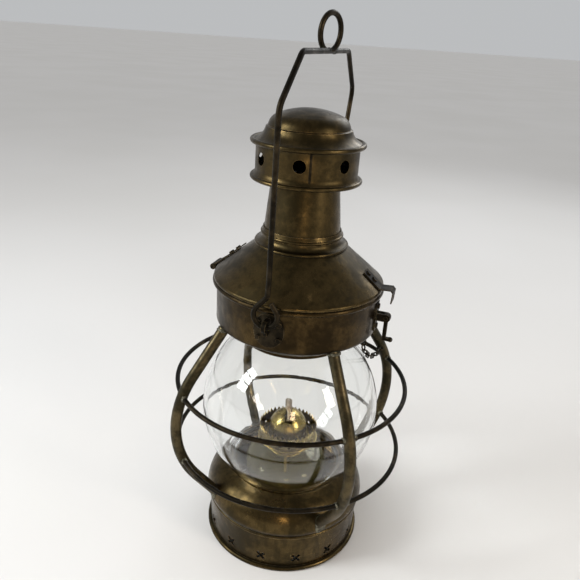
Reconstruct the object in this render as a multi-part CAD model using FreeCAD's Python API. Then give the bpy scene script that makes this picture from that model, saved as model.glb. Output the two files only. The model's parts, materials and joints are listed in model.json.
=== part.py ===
import FreeCAD, Part
import math
import os
from FreeCAD import Vector

# Ship lantern: a vented brass base, a round clear globe inside four tube ribs and two wire rings,
# a hood with a hinged lid, chimney and vent cap, a lift-out oil lamp and a wire bail.
# Millimetres, +Z up, origin at the centre of the base rim, where the lantern stands.
# Front bail lug at -Y, rear one at +Y, lid hinge at -X, lid catch at +X.

# ---- driving dimensions -------------------------------------------------------------------
SHEET = 1.0                      # brass sheet thickness
GAP = 0.05                       # radial clearance of pins, rivets and threaded wires

RIM_BEAD = 2.5                   # radius of the rolled wire bead at the foot
BASE_RADIUS = 88.0               # outside of the foot bead
RIM_WORN = 0.3                   # the bead is worn flat underneath by this much
SKIRT_TOP = 43.3
SKIRT_FOOT_RADIUS = 84.2
VENTS = 14
VENT_FIRST_DEG = -86.3
VENT_HEIGHT = 16.0
VENT_HALF_LENGTH = 6.0
VENT_HALF_WIDTH = 1.5
FLOOR_RADIUS = 85.4
SEAM_BEAD = 1.7                  # radius of the folded seam between skirt and drum
BULGE = (88.4, 57.0)             # widest point (r, z) of the base drum
BULGE_FOOT = (88.2, 51.6)
SHOULDER = (82.2, 72.0)
BREAK = (70.4, 82.0)             # where the shoulder turns into the shallow top
SEAT_EDGE = (63.0, 85.4)         # inner edge of the base drum

GLOBE_CENTRE = 160.0
GLOBE_RADIUS = 95.0
GLOBE_HALF_HEIGHT = 99.0
GLASS = 2.4
GLOBE_FOOT = 84.2                # lower rim of the globe
GLOBE_FOOT_RADIUS = 61.2
GLOBE_TOP = 252.0                # upper rim of the globe
GLOBE_NECK_RADIUS = 51.5

RIB_RADIUS = 5.6                 # outside radius of a guard tube
RIB_WALL = 1.0
RIB_ARC = 105.6                  # radius of the bulging stretch of a rib
RIB_ARC_R = 23.3                 # where that arc's centre lies, from the axis
RIB_ARC_Z = 154.5
RIB_TOP_LEAN = 33.7              # angle of the upper straight stretch from the vertical
RIB_FOOT_LEAN = 37.4
RIB_ANGLES = (-45, 45, 135, -135)
RING_WIRE = 2.4                  # radius of the guard ring wire
RING_HEIGHTS = (117.0, 193.0)

DRUM_RADIUS = 82.0
DRUM_RIM = 304.6                 # height of the rolled rim of the hood drum
DRUM_BEAD = 2.6
DRUM_FOOT = (82.0, 266.0)        # where the drum's wall (r, z) begins to turn under
DRUM_TURN = (81.0, 262.6)
DRUM_UNDER = (77.5, 260.8)
DRUM_NECK = (55.5, 246.2)
DRUM_MOUTH = (55.5, 243.5)
LUG_PLATE = 1.3                  # thickness of the oval plates that carry the bail
EAR_HALF = 2.0
EAR_CLEARANCE = 0.6              # how much wider than the wire the hole in an ear is

LID_EDGE = 307.7                 # underside of the lid edge
CONE_EDGE = (83.6, 311.2)        # lower and upper end (r, z) of the lid cone's face
CONE_TOP = (43.6, 344.9)
STRAP = 1.2                      # thickness of the straps and hinge leaves
STRAP_STAND = 1.4                # their outer faces above the cone
HINGE_X = -91.0
HINGE_Z = 305.2
HINGE_PIN = 1.5
HINGE_HALF = 10.0                # half length of the hinge
KNUCKLE = 3.2                    # radius of its knuckles
KNUCKLE_HALF = 4.0               # half length of the middle one
KNUCKLE_GAP = 0.2

PIVOT_X = 93.0                   # pivot of the swing hook
PIVOT_Z = 282.0
HOOK_REACH = 25.0
HOOK_PIN = 1.2
HOOK_HALF = 1.7                  # half width of the hook
CATCH_HALF = 7.0                 # half width of the catch strap
CATCH_SLOT_HALF = 2.6

CHIMNEY_FOOT = 353.0
MOULDING_TOP = 360.4
BAND_RADIUS = 48.5
BAND_TOP = 441.0
BAND_HOLES = 7
BAND_HOLE_RADIUS = 5.9
BAND_FLOOR = 412.5
BAFFLE = 432.0
CAP_TOP = 472.0

BAIL_WIRE = 2.4                  # radius of the bail wire
BAIL_Y = 92.0                    # half distance between the eyes
BAIL_SPLAY = 20.0                # how much further out the legs stand at the shoulders
BAIL_EYE_Z = 303.0               # centre of the eyes, the axis the bail swings on
BAIL_EYE = 11.3                  # centreline radius of an eye
BAIL_APEX = 321.0
BAIL_SHOULDER = 483.0
BAIL_TOP = 521.0
BAIL_TOP_HALF = 71.5
BAIL_LEAN = 3.2                  # the bail stands a little past upright, towards the catch
LOOP_RADIUS = 15.4               # lifting loop on the top bar
LOOP_TURN = -18.0

LAMP_TURN = 17.0                 # the lamp is set a little round, slot towards the front
COLLAR_TOP = 104.6               # top of the brass collar on the fount
FLANGE_Z = 114.0
CORONET_RADIUS = 32.0
CORONET_TOP = 131.5
DEFLECTOR_TOP = 147.5
WICK_HALF = 11.0
WICK_THICK = 3.2
SHAFT_X = 5.5                    # wick winder beside the wick
SHAFT_Z = 109.5
SHAFT_RADIUS = 1.25
WHEEL_PLACES = (-5.0, 5.0)
WHEEL_RADIUS = 3.8
KNOB_RADIUS = 6.4
KNOB_NEAR = 39.0
KNOB_FAR = 43.4

RIVET_RADIUS = 1.5
RIVET_HEAD = 3.0
RIVET_DOME = 1.6
RIVET_GRIP = 3.6

CHAIN_WIRE = 0.8
CHAIN_LINKS = 7
CHAIN_PITCH = 14.2
CHAIN_LINK_HALF = 2.6            # half width of a link, to the middle of its wire
CHAIN_PLAY = 0.1
EYELET_RADIUS = 3.0
EYELET_WIRE = 0.9
EYELET_TURN = -10.0
HOOD_EYELET = (76.5, 256.6)      # centre (r, z) of the eyelet under the hood
RIB_EYELET_Z = 208.0

AXIS = Vector(0, 0, 1)
ORIGIN = Vector(0, 0, 0)


# ---- shared shapes ------------------------------------------------------------------------
def in_section(point):
    """A point (r, z) of a turned outline, as a vector in the XZ plane."""
    return Vector(point[0], 0, point[1])


def outline(start, *steps):
    """Joined edges: a step (r, z) is a line, a step ((r, z), (r, z)) an arc through the first."""
    edges = []
    here = in_section(start)
    for step in steps:
        if isinstance(step[0], tuple):
            there = in_section(step[1])
            edges.append(Part.Arc(here, in_section(step[0]), there).toShape())
        else:
            there = in_section(step)
            edges.append(Part.makeLine(here, there))
        here = there
    return edges


def turned_sheet(thickness, start, *steps):
    """Sheet of revolution, its metal to the right of the outline as it is walked."""
    return sheet_section(thickness, start, *steps).revolve(ORIGIN, AXIS, 360)


def crown(apex, end):
    """Arc step from the axis at height apex down to end, part of a sphere centred on the axis."""
    reach, low = end
    drop = apex - low
    radius = (reach ** 2 + drop ** 2) / (2 * drop)
    half = math.asin(min(1.0, reach / radius)) / 2
    return ((radius * math.sin(half), apex - radius * (1 - math.cos(half))), end)


def sheet_section(thickness, start, *steps):
    """Face between an outline and its offset; one straight wall is a plain four-sided face."""
    edges = outline(start, *steps)
    if len(edges) > 1:
        return Part.Wire(edges).makeOffset2D(-thickness, join=2, fill=True, openResult=True)
    near, far = in_section(start), in_section(steps[0])
    run = (far - near).normalize()
    aside = Vector(run.z, 0, -run.x) * thickness
    return Part.Face(Part.makePolygon([near, far, far + aside, near + aside, near]))


def turned(start, *steps):
    """Solid of revolution of a closed outline."""
    wire = Part.Wire(outline(start, *steps, start))
    return Part.Face(wire).revolve(ORIGIN, AXIS, 360)


def bead(radius, z, wire):
    return Part.makeTorus(radius, wire, in_section((0, z)))


def tube(outer, inner, low, high):
    return turned((inner, low), (outer, low), (outer, high), (inner, high))


def around(shape, angle):
    """Copy of a shape turned about the lantern's axis."""
    copy = shape.copy()
    copy.rotate(ORIGIN, AXIS, angle)
    return copy


def all_around(shape, angles):
    return [around(shape, angle) for angle in angles]


def evenly(count, first=0.0):
    return [first + 360.0 * step / count for step in range(count)]


def rod(start, end, radius):
    """Round bar between two points."""
    line = end - start
    return Part.makeCylinder(radius, line.Length, start, line)


def box(low, high):
    size = high - low
    return Part.makeBox(size.x, size.y, size.z, low)


def rounded_path(points, bends):
    """Straight runs joined by tangent arcs of the given radii, one at each inner point."""
    edges = []
    here = points[0]
    for before, corner, after, bend in zip(points, points[1:], points[2:], bends):
        back = (before - corner).normalize()
        ahead = (after - corner).normalize()
        half = back.getAngle(ahead) / 2
        reach = bend / math.tan(half)
        enter = corner + back * reach
        leave = corner + ahead * reach
        bisector = (back + ahead).normalize()
        middle = corner + bisector * (bend / math.sin(half) - bend)
        edges.append(Part.makeLine(here, enter))
        edges.append(Part.Arc(enter, middle, leave).toShape())
        here = leave
    edges.append(Part.makeLine(here, points[-1]))
    return Part.Wire(edges)


def swept(path, radius):
    """Round wire along a path."""
    first = path.OrderedEdges[0]
    start = first.valueAt(first.FirstParameter)
    heading = first.tangentAt(first.FirstParameter)
    section = Part.Wire(Part.makeCircle(radius, start, heading))
    return path.makePipeShell([section], True, True)


def bent_strip(points, thickness, half_width):
    """Strip of metal bent in the XZ plane, its points on one face, centred on Y."""
    face = sheet_section(thickness, *points)
    face.translate(Vector(0, -half_width, 0))
    return face.extrude(Vector(0, 2 * half_width, 0))


def rivet(seat, outward):
    """Domed rivet: its head stands on seat, its shank goes back through the metal."""
    direction = Vector(outward).normalize()
    shank = Part.makeCylinder(RIVET_RADIUS, RIVET_GRIP, seat - direction * RIVET_GRIP, direction)
    head = Part.makeSphere(RIVET_HEAD, seat)
    beyond = Part.makeCylinder(RIVET_HEAD + 1, RIVET_HEAD + 1, seat - direction * (RIVET_HEAD + 1), direction)
    head = head.cut(beyond)
    flat = Part.makeCylinder(RIVET_HEAD + 1, RIVET_HEAD, seat + direction * RIVET_DOME, direction)
    return head.cut(flat).fuse(shank).removeSplitter()


def rivet_hole(seat, outward):
    direction = Vector(outward).normalize()
    reach = 6.0
    return Part.makeCylinder(RIVET_RADIUS + GAP, 2 * reach, seat - direction * reach, direction)


# ---- base ---------------------------------------------------------------------------------
def base_skirt():
    wall = turned_sheet(
        SHEET, (FLOOR_RADIUS, SKIRT_TOP), (FLOOR_RADIUS, SKIRT_TOP - 2), (SKIRT_FOOT_RADIUS, RIM_BEAD))
    skirt = wall.fuse(bead(BASE_RADIUS - RIM_BEAD, RIM_BEAD - RIM_WORN, RIM_BEAD))
    skirt = skirt.cut(Part.makeCylinder(BASE_RADIUS + 1, 10, Vector(0, 0, -10)))
    low = Vector(78, -VENT_HALF_LENGTH, -VENT_HALF_WIDTH)
    high = Vector(90, VENT_HALF_LENGTH, VENT_HALF_WIDTH)
    for tilt in (45, -45):
        slot = box(low, high)
        slot.rotate(ORIGIN, Vector(1, 0, 0), tilt)
        slot.translate(Vector(0, 0, VENT_HEIGHT))
        for cutter in all_around(slot, evenly(VENTS, VENT_FIRST_DEG)):
            skirt = skirt.cut(cutter)
    return skirt.removeSplitter()


def base_floor():
    floor = tube(FLOOR_RADIUS, 8.0, SKIRT_TOP, SKIRT_TOP + SHEET)
    air_hole = Part.makeCylinder(5.0, 4.0, Vector(55, 0, SKIRT_TOP - 1))
    for cutter in all_around(air_hole, evenly(12)):
        floor = floor.cut(cutter)
    return floor


def fount_ring():
    """Upright ring on the floor that keeps the fount central."""
    return tube(38.4, 37.2, SKIRT_TOP + SHEET, 48.5)


def base_drum():
    low = SKIRT_TOP + SHEET
    seam_top = low + 2 * SEAM_BEAD
    wall = turned_sheet(
        SHEET, SEAT_EDGE, (65.4, SEAT_EDGE[1]), BREAK, (SHOULDER, BULGE),
        (BULGE_FOOT, (FLOOR_RADIUS, seam_top)), (FLOOR_RADIUS, low))
    return wall.fuse(bead(FLOOR_RADIUS, low + SEAM_BEAD, SEAM_BEAD)).removeSplitter()


def globe_seat():
    """Soldered gallery the foot of the globe stands in."""
    edge, top = SEAT_EDGE
    inner = edge - SHEET
    shelf = GLOBE_FOOT - 0.1
    low = shelf - 1.3
    lip = top + 0.6
    return turned((57.2, low), (edge, low), (edge, lip), (inner, lip), (inner, shelf), (57.2, shelf))


# ---- globe --------------------------------------------------------------------------------
def globe_side(inset, low, high):
    """Half outline of the globe as one curve, from low to high."""
    steps = 24
    top = math.asin((high - GLOBE_CENTRE) / (GLOBE_HALF_HEIGHT - inset))
    foot = math.asin((low - GLOBE_CENTRE) / (GLOBE_HALF_HEIGHT - inset))
    points = []
    for step in range(steps + 1):
        angle = foot + (top - foot) * step / steps
        radius = (GLOBE_RADIUS - inset) * math.cos(angle)
        height = GLOBE_CENTRE + (GLOBE_HALF_HEIGHT - inset) * math.sin(angle)
        points.append(in_section((radius, height)))
    curve = Part.BSplineCurve()
    curve.interpolate(points)
    return curve.toShape()


def glass_globe():
    shoulder_low = 91.0
    shoulder_high = 243.0
    outside = globe_side(0, shoulder_low, shoulder_high)
    inside = globe_side(GLASS, shoulder_low, shoulder_high)
    foot_out = in_section((GLOBE_FOOT_RADIUS, GLOBE_FOOT))
    foot_in = in_section((GLOBE_FOOT_RADIUS - GLASS, GLOBE_FOOT))
    neck_out = in_section((GLOBE_NECK_RADIUS, GLOBE_TOP))
    neck_in = in_section((GLOBE_NECK_RADIUS - GLASS, GLOBE_TOP))
    out_low, out_high = outside.Vertexes[0].Point, outside.Vertexes[-1].Point
    in_low, in_high = inside.Vertexes[0].Point, inside.Vertexes[-1].Point
    turn_out = foot_out + Vector(0, 0, 2.2)
    turn_in = foot_in + Vector(0, 0, 3.2)
    edges = [
        Part.makeLine(foot_out, turn_out), Part.makeLine(turn_out, out_low), outside,
        Part.makeLine(out_high, neck_out), Part.makeLine(neck_out, neck_in), Part.makeLine(neck_in, in_high),
        inside, Part.makeLine(in_low, turn_in), Part.makeLine(turn_in, foot_in), Part.makeLine(foot_in, foot_out)]
    return Part.Face(Part.Wire(Part.__sortEdges__(edges))).revolve(ORIGIN, AXIS, 360)


def globe_collar():
    """Ring in the hood that steadies the neck of the globe."""
    plate = turned_sheet(SHEET, (49.6, 255.0), (65.2, 255.0))
    sleeve = tube(53.4, 52.4, 245.5, 254.2)
    return plate.fuse(sleeve).removeSplitter()


# ---- guard --------------------------------------------------------------------------------
def rib_path():
    """Centreline of a rib in the XZ plane: straight, one long arc, straight."""
    def on_arc(angle):
        turn = math.radians(angle)
        return (RIB_ARC_R + RIB_ARC * math.cos(turn), RIB_ARC_Z + RIB_ARC * math.sin(turn))

    def beyond(angle, length):
        turn = math.radians(angle)
        side = math.copysign(length, angle)
        r, z = on_arc(angle)
        return (r - side * math.sin(turn), z + side * math.cos(turn))

    top = beyond(RIB_TOP_LEAN, 58.0)
    foot = beyond(-RIB_FOOT_LEAN, 37.0)
    return Part.Wire(outline(top, on_arc(RIB_TOP_LEAN), (on_arc(0), on_arc(-RIB_FOOT_LEAN)), foot))


def ring_radius(height):
    """The rings run through the ribs, so they are as wide as the arc is there."""
    return RIB_ARC_R + math.sqrt(RIB_ARC ** 2 - (height - RIB_ARC_Z) ** 2)


def base_envelope():
    return turned(
        (0, 30), (BASE_RADIUS, 30), (FLOOR_RADIUS, SKIRT_TOP + SHEET + 2 * SEAM_BEAD), (BULGE_FOOT, BULGE),
        (SHOULDER, BREAK), (0, 100))


def hood_envelope():
    return turned((0, 240), DRUM_MOUTH, DRUM_NECK, DRUM_UNDER, (DRUM_TURN, DRUM_FOOT), (DRUM_RADIUS, 300), (0, 300))


def guard_ribs():
    path = rib_path()
    rib = swept(path, RIB_RADIUS).cut(swept(path, RIB_RADIUS - RIB_WALL))
    for height in RING_HEIGHTS:
        rib = rib.cut(bead(ring_radius(height), height, RING_WIRE + GAP))
    rib = rib.cut(base_envelope()).cut(hood_envelope())
    return all_around(rib, RIB_ANGLES)


def guard_ring(height):
    return bead(ring_radius(height), height, RING_WIRE)


# ---- hood ---------------------------------------------------------------------------------
def hood_drum():
    wall = turned_sheet(
        SHEET, (DRUM_RADIUS, DRUM_RIM), DRUM_FOOT, (DRUM_TURN, DRUM_UNDER), DRUM_NECK, DRUM_MOUTH)
    drum = wall.fuse(bead(DRUM_RADIUS + 1.6, DRUM_RIM, DRUM_BEAD)).removeSplitter()
    for seat, outward in drum_rivet_seats():
        drum = drum.cut(rivet_hole(seat, outward))
    return drum


def lug_plate():
    """Oval plate curved to the drum wall, at -Y."""
    shell = tube(DRUM_RADIUS + LUG_PLATE, DRUM_RADIUS, 260, 304)
    oval = Part.Ellipse(ORIGIN, 17.0, 15.0).toShape()
    oval = Part.Face(Part.Wire(oval))
    oval.rotate(ORIGIN, AXIS, 90)
    solid = oval.extrude(Vector(0, 0, -100))
    solid.rotate(ORIGIN, Vector(1, 0, 0), -90)
    solid.translate(Vector(0, 0, 284.0))
    blank = shell.common(solid)
    front = box(Vector(-40, -100, 200), Vector(40, 0, 340))
    return blank.common(front)


def bail_lug():
    """Plate with a standing ear; the eye of the bail passes through the hole in the ear."""
    low, high = BAIL_EYE_Z - 20.5, BAIL_EYE_Z - 5.8
    nose = 5.3
    ear = box(Vector(-EAR_HALF, -BAIL_Y - nose, low), Vector(EAR_HALF, -DRUM_RADIUS - 0.6, high))
    start = Vector(-5, -BAIL_Y, BAIL_EYE_Z - BAIL_EYE)
    rounding = Part.makeCylinder(nose, 10, start, Vector(1, 0, 0))
    outer = box(Vector(-5, -110, 260), Vector(5, -BAIL_Y, 300)).cut(rounding)
    ear = ear.cut(outer)
    hole = Part.makeCylinder(BAIL_WIRE + EAR_CLEARANCE, 10, start, Vector(1, 0, 0))
    lug = lug_plate().fuse(ear).cut(hole)
    lug = lug.cut(Part.makeCylinder(DRUM_RADIUS, 400, ORIGIN))
    for seat, outward in lug_rivet_seats():
        lug = lug.cut(rivet_hole(seat, outward))
    return lug.removeSplitter()


def on_drum(angle, z, stand):
    """Point outside the drum wall and the outward direction there."""
    turn = math.radians(angle)
    outward = Vector(math.cos(turn), math.sin(turn), 0)
    return outward * (DRUM_RADIUS + stand) + Vector(0, 0, z), outward


def lug_rivet_seats():
    return [on_drum(-90 + side * 7.0, z, LUG_PLATE) for side in (-1, 1) for z in (276.0, 292.0)]


def hinge_rivet_seats():
    return [(Vector(-DRUM_RADIUS - 1.9, y, 288.0), Vector(-1, 0, 0)) for y in (-5.0, 5.0)]


def hook_rivet_seats():
    return [on_drum(0, z, 1.5) for z in (271.5, 292.5)]


def turned_seats(seats, angle):
    turn = FreeCAD.Rotation(AXIS, angle)
    return [(turn.multVec(seat), turn.multVec(outward)) for seat, outward in seats]


def drum_rivet_seats():
    front = lug_rivet_seats()
    return front + turned_seats(front, 180) + hinge_rivet_seats() + hook_rivet_seats()


def drum_rivets():
    return [rivet(seat, outward) for seat, outward in drum_rivet_seats()]


# ---- hinge --------------------------------------------------------------------------------
def knuckle(low, high):
    return rod(Vector(HINGE_X, low, HINGE_Z), Vector(HINGE_X, high, HINGE_Z), KNUCKLE)


def pin_hole():
    return rod(Vector(HINGE_X, -20, HINGE_Z), Vector(HINGE_X, 20, HINGE_Z), HINGE_PIN + GAP)


def hinge_leaf():
    """Lower leaf on the drum wall, with the middle knuckle."""
    inside = -DRUM_RADIUS - 0.7
    neck = bent_strip([(-88.0, HINGE_Z), (-88.0, 301.0), (inside, 296.0)], STRAP, KNUCKLE_HALF)
    pad = bent_strip([(inside, 297.2), (inside, 282.0)], STRAP, HINGE_HALF)
    leaf = neck.fuse(pad).fuse(knuckle(-KNUCKLE_HALF, KNUCKLE_HALF))
    leaf = leaf.cut(pin_hole()).cut(Part.makeCylinder(DRUM_RADIUS, 400, ORIGIN))
    for seat, outward in hinge_rivet_seats():
        leaf = leaf.cut(rivet_hole(seat, outward))
    return leaf.removeSplitter()


def hinge_pin():
    shank = rod(Vector(HINGE_X, -HINGE_HALF, HINGE_Z), Vector(HINGE_X, HINGE_HALF, HINGE_Z), HINGE_PIN)
    heads = [rod(Vector(HINGE_X, side * (HINGE_HALF + 0.1), HINGE_Z),
                 Vector(HINGE_X, side * (HINGE_HALF + 1.4), HINGE_Z), 2.4) for side in (-1, 1)]
    necks = [rod(Vector(HINGE_X, side * HINGE_HALF, HINGE_Z),
                 Vector(HINGE_X, side * (HINGE_HALF + 0.1), HINGE_Z), HINGE_PIN) for side in (-1, 1)]
    return shank.multiFuse(heads + necks).removeSplitter()


# ---- lid ----------------------------------------------------------------------------------
def cone_point(share, stand=0.0):
    """Point (r, z) up the cone, share 0 at its edge and 1 at its top, standing off its face."""
    run = Vector(CONE_TOP[0] - CONE_EDGE[0], 0, CONE_TOP[1] - CONE_EDGE[1])
    place = in_section(CONE_EDGE) + run * share + cone_outward() * stand
    return (place.x, place.z)


def cone_outward():
    run = Vector(CONE_TOP[0] - CONE_EDGE[0], 0, CONE_TOP[1] - CONE_EDGE[1])
    return Vector(-run.z, 0, run.x).normalize() * -1


def lid_cone():
    cone = turned_sheet(SHEET, CONE_TOP, CONE_EDGE, ((84.8, 310.0), (85.0, LID_EDGE)))
    for seat, outward in lid_rivet_seats():
        cone = cone.cut(rivet_hole(seat, outward))
    return cone


def lid_spigot():
    """Ring inside the cone that drops into the mouth of the drum."""
    lip = cone_point(0.07, -SHEET)
    return turned_sheet(SHEET, cone_point(0.14, -SHEET), lip, (lip[0], 300.0))


def chimney_moulding():
    return turned_sheet(
        SHEET, (38.3, MOULDING_TOP), (39.2, 357.0), ((40.6, 355.3), (39.4, 353.6)),
        ((41.0, 349.0), (44.6, 347.0)), ((46.2, 345.8), (45.4, 344.2)))


def chimney_tube():
    return turned_sheet(SHEET, (33.0, 420.0), (33.2, 402.0), (37.3, MOULDING_TOP), (38.0, CHIMNEY_FOOT))


def vent_band():
    """Perforated band round the chimney head, open below, with a flared and rolled lower edge."""
    band = turned_sheet(SHEET, (BAND_RADIUS, BAND_TOP), (BAND_RADIUS, 417.0), ((49.3, 412.6), (51.2, 410.2)))
    band = band.fuse(bead(51.0, 409.0, 2.1))
    hole = Part.makeCylinder(BAND_HOLE_RADIUS, 30, Vector(35, 0, 427.5), Vector(1, 0, 0))
    for cutter in all_around(hole, evenly(BAND_HOLES, -80.5)):
        band = band.cut(cutter)
    return band.removeSplitter()


def band_floor():
    """Plate between the chimney and the band."""
    outer, inner = BAND_RADIUS - SHEET - 0.1, 33.3
    plate = tube(outer, inner, BAND_FLOOR, BAND_FLOOR + SHEET)
    collar = tube(inner + SHEET, inner, BAND_FLOOR - 4.0, BAND_FLOOR + 0.1)
    lip = tube(outer, outer - SHEET, BAND_FLOOR + 0.9, BAND_FLOOR + 5.0)
    return plate.fuse(collar).fuse(lip).removeSplitter()


def smoke_baffle():
    """Disc over the chimney mouth on three legs that stand on the band floor."""
    disc = turned((0, BAFFLE + 2), (31.0, BAFFLE), (31.0, BAFFLE + 0.9), (0, BAFFLE + 3))
    arm = box(Vector(28, -2, BAFFLE - 0.5), Vector(42, 2, BAFFLE + 0.6))
    leg = arm.fuse(box(Vector(41, -2, BAND_FLOOR + SHEET), Vector(42, 2, BAFFLE + 0.6)))
    return disc.multiFuse(all_around(leg, evenly(3, 60))).removeSplitter()


def cap_dome():
    """Cap: rolled rim, hollow brim, a step and the crown."""
    shell = turned_sheet(
        0.9, (0, CAP_TOP), crown(CAP_TOP, (30.0, 466.0)), ((35.8, 461.5), (38.2, 455.4)),
        (40.0, 454.6), ((43.2, 448.0), (49.5, 443.6)), (49.5, 441.2))
    return shell.fuse(bead(51.6, 442.0, 2.4)).removeSplitter()


def hinge_strap():
    """Upper leaf riveted up the cone, with the two outer knuckles."""
    start = KNUCKLE_HALF + KNUCKLE_GAP
    arm = bent_strip([mirrored(cone_point(0.54, STRAP_STAND)), mirrored(cone_point(0.02, STRAP_STAND)),
                      (HINGE_X + 1.0, HINGE_Z + KNUCKLE)], -STRAP, HINGE_HALF)
    strap = arm.fuse(knuckle(-HINGE_HALF, -start)).fuse(knuckle(start, HINGE_HALF))
    gap = rod(Vector(HINGE_X, -start, HINGE_Z), Vector(HINGE_X, start, HINGE_Z), KNUCKLE + 0.3)
    strap = strap.cut(gap).cut(pin_hole()).cut(cone_envelope())
    for seat, outward in lid_rivet_seats():
        strap = strap.cut(rivet_hole(seat, outward))
    return strap.removeSplitter()


def cone_envelope():
    return turned((0, 300), (85.0, 300), (85.0, LID_EDGE), ((84.8, 310.0), CONE_EDGE), CONE_TOP, (0, 360))


def mirrored(point):
    return (-point[0], point[1])


def catch_strap():
    """Strap down the cone that runs out past the rim and turns down; the hook's nose enters its slot."""
    strap = bent_strip(
        [(96.6, 299.5), (97.4, 310.9), (94.8, 313.6), cone_point(0.02, STRAP_STAND),
         cone_point(0.43, STRAP_STAND)], -STRAP, CATCH_HALF)
    slot = box(Vector(90, -CATCH_SLOT_HALF, 302.2), Vector(110, CATCH_SLOT_HALF, 309.2))
    strap = strap.cut(slot).cut(cone_envelope())
    for seat, outward in lid_rivet_seats():
        strap = strap.cut(rivet_hole(seat, outward))
    return strap.removeSplitter()


def lid_rivet_seats():
    outward = cone_outward()
    other = Vector(-outward.x, 0, outward.z)
    hinge = [(in_section(mirrored(cone_point(share, STRAP_STAND))), other) for share in (0.26, 0.44)]
    catch = [(in_section(cone_point(share, STRAP_STAND)), outward) for share in (0.20, 0.36)]
    return hinge + catch


def lid_rivets():
    return [rivet(seat, outward) for seat, outward in lid_rivet_seats()]


# ---- catch --------------------------------------------------------------------------------
def hook_plate():
    """Riveted plate with two cheeks that carry the pivot of the hook."""
    plate = box(Vector(DRUM_RADIUS - 1, -6, 267.5), Vector(DRUM_RADIUS + 1.5, 6, 296.5))
    cheek_low, cheek_high = PIVOT_Z - 4, PIVOT_Z + 4
    cheeks = []
    for side in (-1, 1):
        near, far = sorted((side * 2.2, side * 3.6))
        cheek = box(Vector(DRUM_RADIUS, near, cheek_low), Vector(PIVOT_X, far, cheek_high))
        nose = rod(Vector(PIVOT_X, near, PIVOT_Z), Vector(PIVOT_X, far, PIVOT_Z), 4.0)
        cheeks.append(cheek.fuse(nose))
    bracket = plate.multiFuse(cheeks).cut(Part.makeCylinder(DRUM_RADIUS, 400, ORIGIN))
    bracket = bracket.cut(rod(Vector(PIVOT_X, -9, PIVOT_Z), Vector(PIVOT_X, 9, PIVOT_Z), HOOK_PIN + GAP))
    for seat, outward in hook_rivet_seats():
        bracket = bracket.cut(rivet_hole(seat, outward))
    return bracket.removeSplitter()


def hook_pivot():
    shank = rod(Vector(PIVOT_X, -3.7, PIVOT_Z), Vector(PIVOT_X, 3.7, PIVOT_Z), HOOK_PIN)
    heads = [rod(Vector(PIVOT_X, side * 3.7, PIVOT_Z), Vector(PIVOT_X, side * 4.6, PIVOT_Z), 2.1)
             for side in (-1, 1)]
    return shank.multiFuse(heads).removeSplitter()


def swing_hook():
    """Hanging hook: an eye on the pivot, a flat shank and a nose that points outwards."""
    eye = rod(Vector(PIVOT_X, -HOOK_HALF, PIVOT_Z), Vector(PIVOT_X, HOOK_HALF, PIVOT_Z), 4.2)
    tip = PIVOT_Z - HOOK_REACH
    shank = box(Vector(PIVOT_X - 1.9, -HOOK_HALF, tip), Vector(PIVOT_X + 1.9, HOOK_HALF, PIVOT_Z))
    nose = box(Vector(PIVOT_X, -HOOK_HALF, tip), Vector(PIVOT_X + 7.5, HOOK_HALF, tip + 3.4))
    hook = eye.fuse(shank).fuse(nose)
    hole = rod(Vector(PIVOT_X, -9, PIVOT_Z), Vector(PIVOT_X, 9, PIVOT_Z), HOOK_PIN + 2 * GAP)
    return hook.cut(hole).removeSplitter()


# ---- bail ---------------------------------------------------------------------------------
def leaned(shape):
    """The bail stands at its lean, turned about the line through its two eyes."""
    copy = shape.copy()
    copy.rotate(Vector(0, 0, BAIL_EYE_Z), Vector(0, 1, 0), BAIL_LEAN)
    return copy


def bail_arch():
    """Two legs, sloping shoulders and the straight top, in the YZ plane."""
    wide = BAIL_Y + BAIL_SPLAY
    half = [Vector(0, BAIL_Y, BAIL_APEX), Vector(0, BAIL_Y, BAIL_APEX + 12), Vector(0, wide, BAIL_SHOULDER),
            Vector(0, BAIL_TOP_HALF, BAIL_TOP)]
    other = [Vector(0, -point.y, point.z) for point in half]
    path = rounded_path(other + half[::-1], [60.0, 14.0, 11.0, 11.0, 14.0, 60.0])
    return swept(path, BAIL_WIRE)


def bail_eye(y):
    """Teardrop eye at the foot of a leg: down one side, round the circle, back up to the leg."""
    drop = BAIL_APEX - BAIL_EYE_Z
    tangent = math.sqrt(drop ** 2 - BAIL_EYE ** 2)
    half = math.asin(BAIL_EYE / drop)
    side = tangent * math.sin(half)
    touch = BAIL_APEX - tangent * math.cos(half)
    short = 6.6
    leg = Vector(0, y, BAIL_APEX + 8)
    apex = Vector(0, y, BAIL_APEX)
    enter = Vector(-side, y, touch)
    leave = Vector(side, y, touch)
    bottom = Vector(0, y, BAIL_EYE_Z - BAIL_EYE)
    end = apex + (leave - apex).normalize() * short
    elbow = rounded_path([leg, apex, enter], [5.0])
    loop = Part.Wire(elbow.OrderedEdges + [Part.Arc(enter, bottom, leave).toShape(), Part.makeLine(leave, end)])
    return swept(loop, BAIL_WIRE)


def bail_wire():
    bail = bail_arch().fuse(bail_eye(-BAIL_Y)).fuse(bail_eye(BAIL_Y))
    return leaned(bail.removeSplitter())


def lifting_loop():
    """Round loop brazed on the top bar, set a little across it."""
    loop = Part.makeTorus(LOOP_RADIUS, BAIL_WIRE, ORIGIN, Vector(1, 0, 0))
    loop.rotate(ORIGIN, AXIS, LOOP_TURN)
    loop.translate(Vector(0, 0, BAIL_TOP + LOOP_RADIUS - 0.4))
    bar = rod(Vector(0, -BAIL_TOP_HALF, BAIL_TOP), Vector(0, BAIL_TOP_HALF, BAIL_TOP), BAIL_WIRE)
    below = box(Vector(-LOOP_RADIUS, -LOOP_RADIUS, BAIL_TOP - 10), Vector(LOOP_RADIUS, LOOP_RADIUS, BAIL_TOP))
    return leaned(loop.cut(below).cut(bar))


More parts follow.
